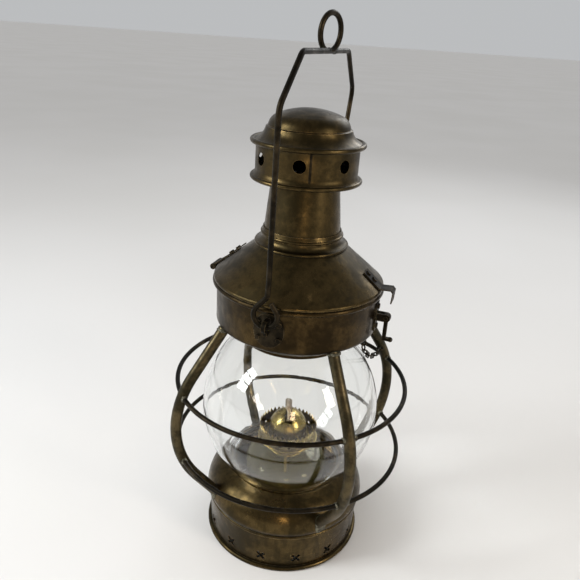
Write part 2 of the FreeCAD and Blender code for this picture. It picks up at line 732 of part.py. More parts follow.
# ---- lamp ---------------------------------------------------------------------------------
def set_round(shape):
    return around(shape, LAMP_TURN)


def fount_glass():
    outside = outline(
        (0, 44.5), (36.6, 44.5), (36.6, 48.6), ((44.0, 63.0), (46.0, 80.0)),
        ((43.6, 88.8), (33.0, 93.4)), (19.0, 96.2), (16.4, 97.6), (16.4, 103.2))
    inside = outline(
        (0, 47.2), (34.2, 47.2), ((41.4, 63.0), (43.4, 80.0)), ((41.2, 86.9), (32.0, 91.0)),
        (18.0, 93.8), (14.4, 95.8), (14.4, 103.2))
    ends = [Part.makeLine(in_section((0, 44.5)), in_section((0, 47.2))),
            Part.makeLine(in_section((16.4, 103.2)), in_section((14.4, 103.2)))]
    wire = Part.Wire(Part.__sortEdges__(outside + inside + ends))
    return Part.Face(wire).revolve(ORIGIN, AXIS, 360)


def fount_collar():
    """Brass collar cemented on the neck of the fount, with raised rings."""
    return turned(
        (16.45, 97.7), (19.4, 97.7), ((20.2, 98.7), (19.4, 99.7)), (18.4, 100.2), (18.4, 101.0),
        ((19.6, 102.2), (18.6, 103.4)), (17.6, COLLAR_TOP), (13.9, COLLAR_TOP), (13.9, 103.3), (16.45, 103.3))


def burner_base():
    """Threaded throat, bowl and flange that carry the rest of the burner."""
    throat = tube(13.8, 12.9, 98.0, COLLAR_TOP + 0.9)
    seat = COLLAR_TOP + 0.1
    bowl = turned_sheet(
        0.8, (13.0, seat + 0.8), (19.0, seat + 0.8), ((24.6, 107.8), (29.0, FLANGE_Z + 0.8)),
        (33.0, FLANGE_Z + 0.8))
    bowl = bowl.fuse(bead(32.7, FLANGE_Z + 0.4, 0.9)).fuse(throat)
    bore = Part.makeCylinder(1.3, 20, Vector(23.0, 0, 100))
    for cutter in all_around(bore, evenly(28)):
        bowl = bowl.cut(cutter)
    return set_round(bowl.cut(shaft_bore()).removeSplitter())


def shaft_bore():
    return rod(Vector(SHAFT_X, 0, SHAFT_Z), Vector(SHAFT_X, 60, SHAFT_Z), SHAFT_RADIUS + GAP)


def coronet():
    """Saw-toothed gallery round the deflector."""
    low = FLANGE_Z + 0.9
    teeth = 40
    tooth = 4.6
    wall = turned_sheet(0.7, (CORONET_RADIUS, CORONET_TOP), (CORONET_RADIUS - 1, low))
    half = math.radians(180.0 / teeth) * CORONET_RADIUS
    above = CORONET_TOP + 0.1
    notch = Part.Face(Part.makePolygon([
        Vector(25, -half, above), Vector(25, half, above), Vector(25, 0, CORONET_TOP - tooth),
        Vector(25, -half, above)])).extrude(Vector(15, 0, 0))
    hole = Part.makeCylinder(1.6, 20, Vector(25, 0, low + 3.4), Vector(1, 0, 0))
    cutters = all_around(notch, evenly(teeth)) + all_around(hole, evenly(20, 4.5))
    return set_round(wall.cut(Part.makeCompound(cutters)))


def deflector_dome():
    """Slotted dome over the wick, with air holes round its foot."""
    low = FLANGE_Z + 0.9
    dome = turned_sheet(
        0.7, (0, DEFLECTOR_TOP), crown(DEFLECTOR_TOP, (21.0, DEFLECTOR_TOP - 21.0)), (21.6, low + 0.7), (24.6, low + 0.7))
    hole = Part.makeCylinder(2.0, 20, Vector(12, 0, 123.4), Vector(1, 0, 0))
    slot = box(Vector(-3.8, -16.0, 125.0), Vector(3.8, 16.0, 160.0))
    for end in (-12.2, 12.2):
        slot = slot.fuse(rod(Vector(0, end, 135.0), Vector(0, end, 160.0), 3.8))
    slot = slot.common(box(Vector(-5, -16.0, 135.6), Vector(5, 16.0, 160.0)))
    dome = dome.cut(slot).cut(Part.makeCompound(all_around(hole, evenly(14))))
    return set_round(dome)


def wick_tube():
    """Flat tube that holds the wick, with windows for the winder's wheels."""
    outer_half = WICK_HALF + 1.2
    inner_half = WICK_HALF + 0.4
    outer = box(Vector(-2.7, -outer_half, 98.5), Vector(2.7, outer_half, 140.5))
    inner = box(Vector(-2.0, -inner_half, 90), Vector(2.0, inner_half, 150))
    flat = outer.cut(inner)
    plate = tube(20.6, 2.0, FLANGE_Z + 2.2, FLANGE_Z + 2.9).cut(outer)
    rim = tube(20.6, 19.8, FLANGE_Z + 1.7, FLANGE_Z + 2.9)
    flat = flat.fuse(plate).fuse(rim)
    for y in WHEEL_PLACES:
        flat = flat.cut(box(Vector(1, y - 1.5, SHAFT_Z - 4.2), Vector(4, y + 1.5, SHAFT_Z + 4.2)))
    return set_round(flat.removeSplitter())


def wick_winder():
    """Shaft, two toothed wheels and the knob."""
    shaft = rod(Vector(SHAFT_X, -9, SHAFT_Z), Vector(SHAFT_X, KNOB_NEAR + 1, SHAFT_Z), SHAFT_RADIUS)
    pieces = []
    for y in WHEEL_PLACES:
        wheel = rod(Vector(SHAFT_X, y - 1, SHAFT_Z), Vector(SHAFT_X, y + 1, SHAFT_Z), WHEEL_RADIUS)
        for angle in evenly(10):
            notch = rod(Vector(SHAFT_X + WHEEL_RADIUS + 0.2, y - 2, SHAFT_Z),
                        Vector(SHAFT_X + WHEEL_RADIUS + 0.2, y + 2, SHAFT_Z), 0.7)
            notch.rotate(Vector(SHAFT_X, 0, SHAFT_Z), Vector(0, 1, 0), angle)
            wheel = wheel.cut(notch)
        pieces.append(wheel)
    knob = rod(Vector(SHAFT_X, KNOB_NEAR, SHAFT_Z), Vector(SHAFT_X, KNOB_FAR, SHAFT_Z), KNOB_RADIUS)
    for angle in evenly(18):
        flute = rod(Vector(SHAFT_X + KNOB_RADIUS + 0.5, KNOB_NEAR - 1, SHAFT_Z),
                    Vector(SHAFT_X + KNOB_RADIUS + 0.5, KNOB_FAR + 1, SHAFT_Z), 0.9)
        flute.rotate(Vector(SHAFT_X, 0, SHAFT_Z), Vector(0, 1, 0), angle)
        knob = knob.cut(flute)
    pieces.append(knob)
    return set_round(shaft.multiFuse(pieces).removeSplitter())


def wick():
    strip = box(Vector(-WICK_THICK / 2, -WICK_HALF, 68.0), Vector(WICK_THICK / 2, WICK_HALF, 158.0))
    return set_round(strip)


# ---- keeper chain -------------------------------------------------------------------------
def chain_eyelet():
    """Wire eyelet soldered under the hood, its plane radial."""
    r, z = HOOD_EYELET
    eye = Part.makeTorus(EYELET_RADIUS, EYELET_WIRE, Vector(r, 0, z), Vector(0, 1, 0))
    return around(eye.cut(hood_envelope()), EYELET_TURN)


def rib_eyelet():
    """Flat wire eyelet soldered to the side of the rear right rib."""
    eye = Part.makeTorus(EYELET_RADIUS, EYELET_WIRE, rib_eyelet_centre())
    return eye.cut(around(swept(rib_path(), RIB_RADIUS), RIB_ANGLES[1]))


def rib_eyelet_centre():
    turn = math.radians(RIB_ANGLES[1])
    radius = ring_radius(RIB_EYELET_Z)
    middle = Vector(radius * math.cos(turn), radius * math.sin(turn), RIB_EYELET_Z)
    return middle - Vector(0, RIB_RADIUS + EYELET_RADIUS - EYELET_WIRE, 0)


def chain_ends():
    """Where the first link hangs on the hood's eyelet and the last one on the rib's."""
    r, z = HOOD_EYELET
    turn = math.radians(EYELET_TURN)
    start = Vector(r * math.cos(turn), r * math.sin(turn), z - EYELET_RADIUS)
    end = rib_eyelet_centre() - Vector(0, EYELET_RADIUS, 0)
    along = (end - start).normalize()
    hold = EYELET_WIRE + CHAIN_PLAY / 2
    return start - along * hold, end + along * hold


def chain_joints():
    """Points between the links: equal chords of an arc that sags from end to end."""
    start, end = chain_ends()
    span = end - start
    low, high = 0.001, math.pi / CHAIN_LINKS
    for _ in range(60):
        step = (low + high) / 2
        if math.sin(CHAIN_LINKS * step / 2) / math.sin(step / 2) > span.Length / CHAIN_PITCH:
            low = step
        else:
            high = step
    radius = CHAIN_PITCH / (2 * math.sin(step / 2))
    along = Vector(span).normalize()
    up = (AXIS - along * AXIS.dot(along)).normalize()
    centre = start + span / 2 + up * radius * math.cos(CHAIN_LINKS * step / 2)
    joints = []
    for count in range(CHAIN_LINKS + 1):
        angle = (count - CHAIN_LINKS / 2) * step
        joints.append(centre + along * radius * math.sin(angle) - up * radius * math.cos(angle))
    return joints


def chain_link():
    """Long oval link in the XZ plane, its length along X."""
    half = CHAIN_PITCH / 2 + CHAIN_WIRE + CHAIN_PLAY / 2
    side = half - CHAIN_LINK_HALF
    w = CHAIN_LINK_HALF
    path = Part.Wire([
        Part.makeLine(Vector(-side, 0, w), Vector(side, 0, w)),
        Part.Arc(Vector(side, 0, w), Vector(half, 0, 0), Vector(side, 0, -w)).toShape(),
        Part.makeLine(Vector(side, 0, -w), Vector(-side, 0, -w)),
        Part.Arc(Vector(-side, 0, -w), Vector(-half, 0, 0), Vector(-side, 0, w)).toShape()])
    return swept(path, CHAIN_WIRE)


def keeper_chain():
    """Links between the two eyelets, each turned a quarter from the one before."""
    joints = chain_joints()
    links = []
    for count, (near, far) in enumerate(zip(joints, joints[1:])):
        link = chain_link()
        link.rotate(ORIGIN, Vector(1, 0, 0), 90 * (count % 2))
        along = far - near
        heading = math.degrees(math.atan2(along.y, along.x))
        dip = math.degrees(math.asin(-along.z / along.Length))
        link.rotate(ORIGIN, Vector(0, 1, 0), dip)
        link.rotate(ORIGIN, AXIS, heading)
        link.translate((near + far) / 2)
        links.append(link)
    return Part.makeCompound(links)


# ---- export -------------------------------------------------------------------------------
def nodes():
    ribs = guard_ribs()
    lower, upper = RING_HEIGHTS
    lug = bail_lug()
    return {
        "base_skirt": base_skirt(),
        "base_floor": base_floor(),
        "base_drum": base_drum(),
        "fount_ring": fount_ring(),
        "globe_seat": globe_seat(),
        "glass_globe": glass_globe(),
        "globe_collar": globe_collar(),
        "guard_rib_front_right": ribs[0],
        "guard_rib_rear_right": ribs[1],
        "guard_rib_rear_left": ribs[2],
        "guard_rib_front_left": ribs[3],
        "guard_ring_lower": guard_ring(lower),
        "guard_ring_upper": guard_ring(upper),
        "hood_drum": hood_drum(),
        "bail_lug_front": lug,
        "bail_lug_rear": around(lug, 180),
        "drum_rivets": Part.makeCompound(drum_rivets()),
        "hinge_leaf": hinge_leaf(),
        "hinge_pin": hinge_pin(),
        "hook_plate": hook_plate(),
        "hook_pivot": hook_pivot(),
        "chain_eyelet": chain_eyelet(),
        "rib_eyelet": rib_eyelet(),
        "keeper_chain": keeper_chain(),
        "lid_cone": lid_cone(),
        "lid_spigot": lid_spigot(),
        "chimney_moulding": chimney_moulding(),
        "chimney_tube": chimney_tube(),
        "vent_band": vent_band(),
        "band_floor": band_floor(),
        "smoke_baffle": smoke_baffle(),
        "cap_dome": cap_dome(),
        "hinge_strap": hinge_strap(),
        "catch_strap": catch_strap(),
        "lid_rivets": Part.makeCompound(lid_rivets()),
        "swing_hook": swing_hook(),
        "bail_wire": bail_wire(),
        "lifting_loop": lifting_loop(),
        "fount_glass": fount_glass(),
        "fount_collar": fount_collar(),
        "burner_base": burner_base(),
        "coronet": coronet(),
        "deflector_dome": deflector_dome(),
        "wick_tube": wick_tube(),
        "wick_winder": wick_winder(),
        "wick": wick(),
    }


os.makedirs("parts", exist_ok=True)
for name, shape in nodes().items():
    solids = shape.Solids
    good = shape.isValid() and all(solid.isClosed() for solid in solids)
    print(f"{name:24s} solids {len(solids)} valid {good} volume {shape.Volume:9.0f}")
    shape.exportStep(f"parts/{name}.step")
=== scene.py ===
import json
import math

import bmesh
import bpy
from mathutils import Matrix, Vector, noise


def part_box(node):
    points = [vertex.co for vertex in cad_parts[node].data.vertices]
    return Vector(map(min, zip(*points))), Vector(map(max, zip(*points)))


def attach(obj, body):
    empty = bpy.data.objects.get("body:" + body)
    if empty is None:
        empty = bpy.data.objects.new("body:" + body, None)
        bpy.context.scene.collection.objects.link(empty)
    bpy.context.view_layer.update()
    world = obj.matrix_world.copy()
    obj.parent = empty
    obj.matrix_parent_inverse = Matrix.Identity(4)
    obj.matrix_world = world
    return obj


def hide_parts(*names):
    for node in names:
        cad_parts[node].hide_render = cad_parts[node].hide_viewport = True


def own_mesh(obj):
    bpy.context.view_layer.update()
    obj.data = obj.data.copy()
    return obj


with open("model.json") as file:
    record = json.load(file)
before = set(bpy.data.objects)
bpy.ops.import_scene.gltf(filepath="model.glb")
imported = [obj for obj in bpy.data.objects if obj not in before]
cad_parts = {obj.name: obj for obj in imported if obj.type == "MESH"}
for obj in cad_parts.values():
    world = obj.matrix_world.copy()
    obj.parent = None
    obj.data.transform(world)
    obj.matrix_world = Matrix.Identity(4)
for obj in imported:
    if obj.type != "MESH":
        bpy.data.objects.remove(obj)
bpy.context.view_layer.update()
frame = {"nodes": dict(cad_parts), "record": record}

# A ship lantern. Metres, +Z up, the lantern stands on its foot rim at the origin.
MM = 0.001
CAMERA_AZIMUTH = math.radians(17)
LAMP_TURN = math.radians(17)
FOOT_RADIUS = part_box("base_skirt")[1].x
BAIL_RADIUS = 2.4 * MM
RIB_RADIUS = 5.6 * MM
RING_WIRE = 2.4 * MM
WICK_ACROSS, WICK_ALONG = 28, 60
RIB_PREFIX = "guard_rib_"
RIBS = {
    "guard_rib_front_right": -45, "guard_rib_rear_right": 45,
    "guard_rib_rear_left": 135, "guard_rib_front_left": -135}
RINGS = ("guard_ring_lower", "guard_ring_upper")
LIGHTS_AIM = (0, 0, 0.26)
PANE_SHARE = 0.88
FLOOR_REACH = 60.0

# Sizes of the noise patterns in the materials, in features per metre.
BLOTCHES, HOLLOWS, MOTTLES, DRIPS, SPECKS, LATHE_LINES = 22.0, 34.0, 130.0, 160.0, 700.0, 900.0
GLASS_WAVES, GLASS_FILM = 14.0, 45.0
WICK_RIBS, WICK_PICKS, WICK_FUZZ = 260.0, 330.0, 900.0
SOLDER_MOTTLES = 260.0
TABLE_STAINS = 1.2


# ---- camera, light and floor ---------------------------------------------------------------
def make_camera():
    """Stands in front, a little to the catch's side, and looks down on the lantern."""
    yaw, pitch, roll = math.radians(-0.81), math.radians(23.0), math.radians(-3.8)
    back, up = 6.405 * FOOT_RADIUS, 6.039 * FOOT_RADIUS
    forward = Vector((math.sin(yaw) * math.cos(pitch), math.cos(yaw) * math.cos(pitch), -math.sin(pitch)))
    right = Vector((math.cos(yaw), -math.sin(yaw), 0))
    down = forward.cross(right)
    level_right = math.cos(roll) * right + math.sin(roll) * down
    level_up = math.sin(roll) * right - math.cos(roll) * down
    turn = Matrix.Rotation(CAMERA_AZIMUTH, 3, "Z")
    axes = Matrix([turn @ level_right, turn @ level_up, turn @ -forward]).transposed()
    data = bpy.data.cameras.new("camera")
    data.lens = 37.24
    data.sensor_width = 36
    data.clip_start = 0.01
    camera = bpy.data.objects.new("camera", data)
    camera.matrix_world = Matrix.Translation(turn @ Vector((0, -back, up))) @ axes.to_4x4()
    bpy.context.collection.objects.link(camera)
    bpy.context.scene.camera = camera


def window(name, place, aim, size, panes, watts, colour):
    """Area lights side by side, like the panes of a window that faces aim."""
    place = Vector(place)
    axes = (Vector(aim) - place).to_track_quat("-Z", "Y").to_matrix()
    pane_size = (size[0] / panes[0], size[1] / panes[1])
    for column in range(panes[0]):
        for row in range(panes[1]):
            data = bpy.data.lights.new(f"{name}_{column}_{row}", "AREA")
            data.shape = "RECTANGLE"
            data.size = pane_size[0] * PANE_SHARE
            data.size_y = pane_size[1] * PANE_SHARE
            data.energy = watts / (panes[0] * panes[1])
            data.color = colour
            light = bpy.data.objects.new(data.name, data)
            across = (column + 0.5) * pane_size[0] - size[0] / 2
            up = (row + 0.5) * pane_size[1] - size[1] / 2
            light.matrix_world = Matrix.Translation(place + axes @ Vector((across, up, 0))) @ axes.to_4x4()
            bpy.context.collection.objects.link(light)


def overcast(strength):
    """Even, soft light on the table, which the metal and the glass don't mirror."""
    sun = bpy.data.lights.new("overcast", "SUN")
    sun.energy = strength
    sun.angle = math.radians(50)
    sun.color = (1.0, 0.99, 0.975)
    light = bpy.data.objects.new("overcast", sun)
    light.rotation_euler = Vector((0.45, 0.35, -1)).to_track_quat("-Z", "Y").to_euler()
    light.visible_glossy = False
    light.visible_transmission = False
    bpy.context.collection.objects.link(light)


def make_lights():
    """Windows either side and behind, a small warm lamp in front, and overcast light on the table."""
    window("window_left", (-1.15, -0.80, 0.95), LIGHTS_AIM, (0.42, 0.70), (2, 3), 21, (0.95, 0.985, 1.0))
    window("window_right", (1.40, -0.45, 0.80), LIGHTS_AIM, (0.30, 0.66), (2, 3), 10, (1.0, 0.90, 0.78))
    window("lamp_low", (0.50, -1.25, 0.42), LIGHTS_AIM, (0.16, 0.30), (1, 2), 1.6, (1.0, 0.74, 0.45))
    window("window_rear", (0.5, 1.7, 1.3), LIGHTS_AIM, (1.2, 0.8), (3, 2), 9, (0.94, 0.97, 1.0))
    overcast(1.15)


def make_room():
    """Surroundings that are darker in front of the lantern than behind it."""
    world = bpy.data.worlds.new("studio")
    world.use_nodes = True
    tree = world.node_tree
    place = tree.nodes.new("ShaderNodeTexCoord")
    facing = tree.nodes.new("ShaderNodeVectorMath")
    facing.operation = "DOT_PRODUCT"
    facing.inputs[1].default_value = (-math.sin(CAMERA_AZIMUTH), math.cos(CAMERA_AZIMUTH), 0)
    share = tree.nodes.new("ShaderNodeMapRange")
    share.interpolation_type = "SMOOTHSTEP"
    share.inputs["From Min"].default_value = -0.6
    share.inputs["From Max"].default_value = 0.8
    blend = tree.nodes.new("ShaderNodeMix")
    blend.data_type = "RGBA"
    blend.inputs[6].default_value = (0.24, 0.235, 0.23, 1)
    blend.inputs[7].default_value = (0.50, 0.51, 0.52, 1)
    tree.links.new(place.outputs["Generated"], facing.inputs[0])
    tree.links.new(facing.outputs["Value"], share.inputs["Value"])
    tree.links.new(share.outputs["Result"], blend.inputs["Factor"])
    tree.links.new(blend.outputs[2], tree.nodes["Background"].inputs["Color"])
    bpy.context.scene.world = world
    bpy.context.scene.view_settings.view_transform = "Standard"


def make_floor():
    """Large pale table top with a soft sheen."""
    mesh = bmesh.new()
    bmesh.ops.create_grid(mesh, x_segments=2, y_segments=2, size=FLOOR_REACH)
    data = bpy.data.meshes.new("floor")
    mesh.to_mesh(data)
    mesh.free()
    floor = bpy.data.objects.new("floor", data)
    graph = Graph("pale_table")
    stain = graph.noise(graph.coords(), TABLE_STAINS, 2)
    colour = graph.mix(graph.ramp(stain, 0.3, 0.7), (0.655, 0.645, 0.63), (0.685, 0.675, 0.665))
    graph.surface(colour, 0.55, 0.0, Specular_IOR_Level=0.25)
    data.materials.append(graph.material)
    bpy.context.collection.objects.link(floor)


# ---- node graphs ---------------------------------------------------------------------------
class Graph:
    """A material under construction: each call adds a node and gives back its output socket."""

    def __init__(self, name):
        self.material = bpy.data.materials.new(name)
        self.material.use_nodes = True
        self.tree = self.material.node_tree
        self.tree.nodes.clear()
        self.output = self.tree.nodes.new("ShaderNodeOutputMaterial")

    def feed(self, socket, value):
        if isinstance(value, bpy.types.NodeSocket):
            self.tree.links.new(value, socket)
        elif isinstance(value, tuple) and len(value) == 3 and socket.type == "RGBA":
            socket.default_value = (*value, 1)
        else:
            socket.default_value = value

    def coords(self):
        return self.tree.nodes.new("ShaderNodeTexCoord").outputs["Object"]

    def math(self, operation, first, second=0.0):
        node = self.tree.nodes.new("ShaderNodeMath")
        node.operation = operation
        self.feed(node.inputs[0], first)
        self.feed(node.inputs[1], second)
        return node.outputs[0]

    def split(self, vector):
        node = self.tree.nodes.new("ShaderNodeSeparateXYZ")
        self.feed(node.inputs[0], vector)
        return node.outputs

    def join(self, x, y, z):
        node = self.tree.nodes.new("ShaderNodeCombineXYZ")
        for socket, value in zip(node.inputs, (x, y, z)):
            self.feed(socket, value)
        return node.outputs[0]

    def scaled(self, vector, scale):
        node = self.tree.nodes.new("ShaderNodeVectorMath")
        node.operation = "MULTIPLY"
        self.feed(node.inputs[0], vector)
        self.feed(node.inputs[1], scale)
        return node.outputs[0]

    def noise(self, vector, scale, detail=4, rough=0.55, warp=0.0):
        node = self.tree.nodes.new("ShaderNodeTexNoise")
        self.feed(node.inputs["Vector"], vector)
        node.inputs["Scale"].default_value = scale
        node.inputs["Detail"].default_value = detail
        node.inputs["Roughness"].default_value = rough
        node.inputs["Distortion"].default_value = warp
        return node.outputs["Fac"]

    def wave(self, vector, scale):
        node = self.tree.nodes.new("ShaderNodeTexWave")
        node.wave_profile = "SIN"
        self.feed(node.inputs["Vector"], vector)
        node.inputs["Scale"].default_value = scale
        return node.outputs["Fac"]

    def ramp(self, value, low, high, to_low=0.0, to_high=1.0):
        node = self.tree.nodes.new("ShaderNodeMapRange")
        node.interpolation_type = "SMOOTHSTEP"
        self.feed(node.inputs["Value"], value)
        for key, number in (("From Min", low), ("From Max", high), ("To Min", to_low), ("To Max", to_high)):
            self.feed(node.inputs[key], number)
        return node.outputs["Result"]

    def mix(self, share, first, second):
        node = self.tree.nodes.new("ShaderNodeMix")
        node.data_type = "RGBA"
        self.feed(node.inputs["Factor"], share)
        self.feed(node.inputs[6], first)
        self.feed(node.inputs[7], second)
        return node.outputs[2]

    def bump(self, height, distance, strength=1.0, normal=None):
        node = self.tree.nodes.new("ShaderNodeBump")
        node.inputs["Distance"].default_value = distance
        node.inputs["Strength"].default_value = strength
        self.feed(node.inputs["Height"], height)
        if normal is not None:
            self.feed(node.inputs["Normal"], normal)
        return node.outputs["Normal"]

    def crevice(self, distance):
        """1 in the open, towards 0 in corners and under overhangs."""
        node = self.tree.nodes.new("ShaderNodeAmbientOcclusion")
        node.samples = 6
        node.inputs["Distance"].default_value = distance
        return node.outputs["AO"]

    def edge(self, radius):
        """Towards 1 along folded and cut edges."""
        bevel = self.tree.nodes.new("ShaderNodeBevel")
        bevel.samples = 4
        bevel.inputs["Radius"].default_value = radius
        geometry = self.tree.nodes.new("ShaderNodeNewGeometry")
        dot = self.tree.nodes.new("ShaderNodeVectorMath")
        dot.operation = "DOT_PRODUCT"
        self.feed(dot.inputs[0], bevel.outputs[0])
        self.feed(dot.inputs[1], geometry.outputs["Normal"])
        return self.ramp(dot.outputs["Value"], 0.995, 0.90)

    def surface(self, colour, roughness, metallic, normal=None, **extra):
        node = self.tree.nodes.new("ShaderNodeBsdfPrincipled")
        self.feed(node.inputs["Base Color"], colour)
        self.feed(node.inputs["Roughness"], roughness)
        self.feed(node.inputs["Metallic"], metallic)
        if normal is not None:
            self.feed(node.inputs["Normal"], normal)
        for key, value in extra.items():
            self.feed(node.inputs[key.replace("_", " ")], value)
        self.feed(self.output.inputs["Surface"], node.outputs[0])


# ---- materials -----------------------------------------------------------------------------
def metal(name, dark, middle, bright, stain, shine, spun=0.0, dents=0.0, verdigris=0.25):
    """Old metal: blotchy patina over a brighter ground, rubbed edges, and painted shade with verdigris green in
    the corners.

    stain is the patina level where dark turns to clean, shine the roughness of clean metal, spun the strength
    of lathe lines, dents the depth of shallow hollows and verdigris the green's share of the painted corner
    shade.
    """
    graph = Graph(name)
    place = graph.coords()
    x, y, z = graph.split(place)
    squares = graph.math("ADD", graph.math("MULTIPLY", x, x), graph.math("MULTIPLY", y, y))
    radius = graph.math("SQRT", squares)
    blotch = graph.noise(place, BLOTCHES, 5, 0.6, 0.4)
    mottle = graph.noise(place, MOTTLES, 6, 0.65)
    speck = graph.noise(place, SPECKS, 3)
    drip = graph.noise(graph.scaled(place, (1, 1, 0.18)), DRIPS, 3)
    patina = graph.math("ADD", graph.math("MULTIPLY", blotch, 0.62), graph.math("MULTIPLY", mottle, 0.38))
    clean = graph.ramp(patina, stain - 0.10, stain + 0.12)
    colour = graph.mix(clean, dark, middle)
    streak = graph.math("MULTIPLY", graph.ramp(drip, 0.52, 0.70), 0.55)
    colour = graph.mix(streak, colour, dark)
    worn = graph.math("MULTIPLY", graph.edge(0.9 * MM), graph.ramp(mottle, 0.30, 0.62))
    polished = graph.ramp(patina, stain + 0.12, stain + 0.25)
    rubbed = graph.math("MAXIMUM", graph.math("MULTIPLY", worn, 0.8), polished)
    colour = graph.mix(rubbed, colour, bright)
    pitted = graph.ramp(speck, 0.60, 0.68)
    colour = graph.mix(graph.math("MULTIPLY", pitted, 0.5), colour, dark)
    # Painted shade: corners and recesses, found by ambient occlusion, turn near black, rougher and less
    # metallic, partly tinted verdigris green.
    corner = graph.ramp(graph.crevice(7 * MM), 0.75, 0.25)
    green = graph.ramp(mottle, 0.42, 0.60, 0.0, verdigris)
    corner_shade_and_verdigris = graph.mix(green, (0.012, 0.009, 0.005), (0.10, 0.125, 0.075))
    colour = graph.mix(graph.math("MULTIPLY", corner, 0.75), colour, corner_shade_and_verdigris)
    rough = graph.ramp(clean, 0.0, 1.0, shine + 0.16, shine)
    rough = graph.math("ADD", rough, graph.math("MULTIPLY", mottle, 0.12))
    rough = graph.math("ADD", rough, graph.math("MULTIPLY", corner, 0.25))
    metallic = graph.ramp(corner, 0.0, 1.0, 1.0, 0.45)
    grain = graph.math("ADD", graph.math("MULTIPLY", speck, 0.5), graph.math("MULTIPLY", mottle, 1.6))
    normal = graph.bump(grain, 0.10 * MM, 0.55)
    if spun:
        outwards = graph.math("MULTIPLY", radius, LATHE_LINES)
        upwards = graph.math("MULTIPLY", z, LATHE_LINES)
        lathe = graph.noise(graph.join(outwards, 0.0, upwards), 1.0, 2)
        normal = graph.bump(lathe, 0.03 * MM, spun, normal)
    if dents:
        hollow = graph.noise(place, HOLLOWS, 1, 0.4)
        normal = graph.bump(hollow, dents, 1.0, normal)
    graph.surface(colour, rough, metallic, normal)
    return graph.material


def glass(name, tint, ior, ripple, smudge, clear=1.0):
    """Blown glass with faint ripples and a dusty film; clear is the share of light that isn't scattered."""
    graph = Graph(name)
    place = graph.coords()
    wave = graph.noise(graph.scaled(place, (1, 1, 2.4)), GLASS_WAVES, 1)
    film = graph.noise(place, GLASS_FILM, 5, 0.6, 0.6)
    rough = graph.ramp(film, 0.48, 0.75, 0.0, smudge)
    normal = graph.bump(wave, ripple, 1.0)
    graph.surface(tint, rough, 0.0, normal, Transmission_Weight=clear, IOR=ior)
    return graph.material


def woven_wick():
    """Flat cotton wick: ribs along it, darker and burnt towards its top."""
    graph = Graph("woven_cotton")
    place = graph.coords()
    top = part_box("wick")[1].z
    _, y, z = graph.split(place)
    ribs = graph.wave(graph.join(y, 0.0, 0.0), WICK_RIBS)
    picks = graph.wave(graph.join(z, 0.0, 0.0), WICK_PICKS)
    thread = graph.math("MULTIPLY", ribs, picks)
    fuzz = graph.noise(place, WICK_FUZZ, 4)
    colour = graph.mix(thread, (0.30, 0.22, 0.13), (0.62, 0.52, 0.36))
    colour = graph.mix(graph.math("MULTIPLY", fuzz, 0.5), colour, (0.42, 0.33, 0.2))
    uneven_z = graph.math("ADD", z, graph.math("MULTIPLY", fuzz, 3 * MM))
    burnt = graph.ramp(uneven_z, top - 5 * MM, top + 2 * MM)
    colour = graph.mix(graph.math("MULTIPLY", burnt, 0.75), colour, (0.035, 0.024, 0.016))
    height = graph.math("ADD", thread, graph.math("MULTIPLY", fuzz, 0.6))
    graph.surface(colour, 0.95, 0.0, graph.bump(height, 0.35 * MM), Sheen_Weight=0.3)
    return graph.material


def solder():
    """Dull grey-brown solder, lumpy, darkened to dark green in its corners: painted shade with verdigris."""
    graph = Graph("old_solder")
    place = graph.coords()
    mottle = graph.noise(place, SOLDER_MOTTLES, 5, 0.6)
    colour = graph.mix(graph.ramp(mottle, 0.40, 0.62), (0.045, 0.040, 0.026), (0.17, 0.16, 0.115))
    # Painted shade with a verdigris tint: corners found by ambient occlusion turn dark green.
    corner = graph.ramp(graph.crevice(4 * MM), 0.8, 0.3)
    colour = graph.mix(graph.math("MULTIPLY", corner, 0.6), colour, (0.05, 0.065, 0.04))
    normal = graph.bump(mottle, 0.35 * MM)
    graph.surface(colour, graph.ramp(mottle, 0.3, 0.7, 0.62, 0.42), 0.7, normal)
    return graph.material


def make_materials():
    """Finishes by name: metal takes its dark, middle and bright colours, then stain and shine."""
    return {
        "aged_brass": metal(
            "aged_brass", (0.034, 0.025, 0.011), (0.098, 0.067, 0.027), (0.31, 0.205, 0.085), 0.50, 0.20,
            spun=0.5, dents=1.1 * MM),
        "sooted_brass": metal(
            "sooted_brass", (0.022, 0.015, 0.007), (0.064, 0.042, 0.017), (0.215, 0.138, 0.056), 0.52, 0.20,
            spun=0.5, dents=1.1 * MM),
        "guard_brass": metal(
            "guard_brass", (0.030, 0.026, 0.015), (0.11, 0.085, 0.045), (0.30, 0.23, 0.12), 0.50, 0.30,
            dents=0.3 * MM, verdigris=0.6),
        "dark_brass": metal(
            "dark_brass", (0.012, 0.010, 0.007), (0.045, 0.034, 0.020), (0.20, 0.14, 0.07), 0.54, 0.32,
            dents=0.25 * MM, verdigris=0.5),
        "burner_brass": metal(
            "burner_brass", (0.115, 0.082, 0.025), (0.37, 0.285, 0.10), (0.68, 0.54, 0.24), 0.44, 0.20,
            spun=0.4, verdigris=0.2),
        "globe_glass": glass("globe_glass", (0.985, 0.992, 0.988), 1.47, 0.6 * MM, 0.05),
        "fount_glass": glass("fount_glass", (0.38, 0.335, 0.13), 1.50, 0.5 * MM, 0.03, 0.955),
        "wick_cotton": woven_wick(),
        "solder": solder(),
    }


def paint_frame(materials):
    """Gives every CAD node the material of its slot, and the hood drum, over the flame, a darker one."""
    for part in frame["record"]["subparts"]:
        node = frame["nodes"][part["node"]]
        finish = "sooted_brass" if part["node"] == "hood_drum" else part["material_slot"]
        node.data.materials.clear()
        node.data.materials.append(materials[finish])
        node.visible_shadow = not part["material_slot"].endswith("glass")


# ---- pieces --------------------------------------------------------------------------------
def piece(name, mesh, material, body):
    """Turns a bmesh into an object that rides on a body."""
    data = bpy.data.meshes.new(name)
    mesh.to_mesh(data)
    mesh.free()
    data.shade_smooth()
    data.materials.append(material)
    thing = bpy.data.objects.new(name, data)
    bpy.context.collection.objects.link(thing)
    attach(thing, body)
    return thing


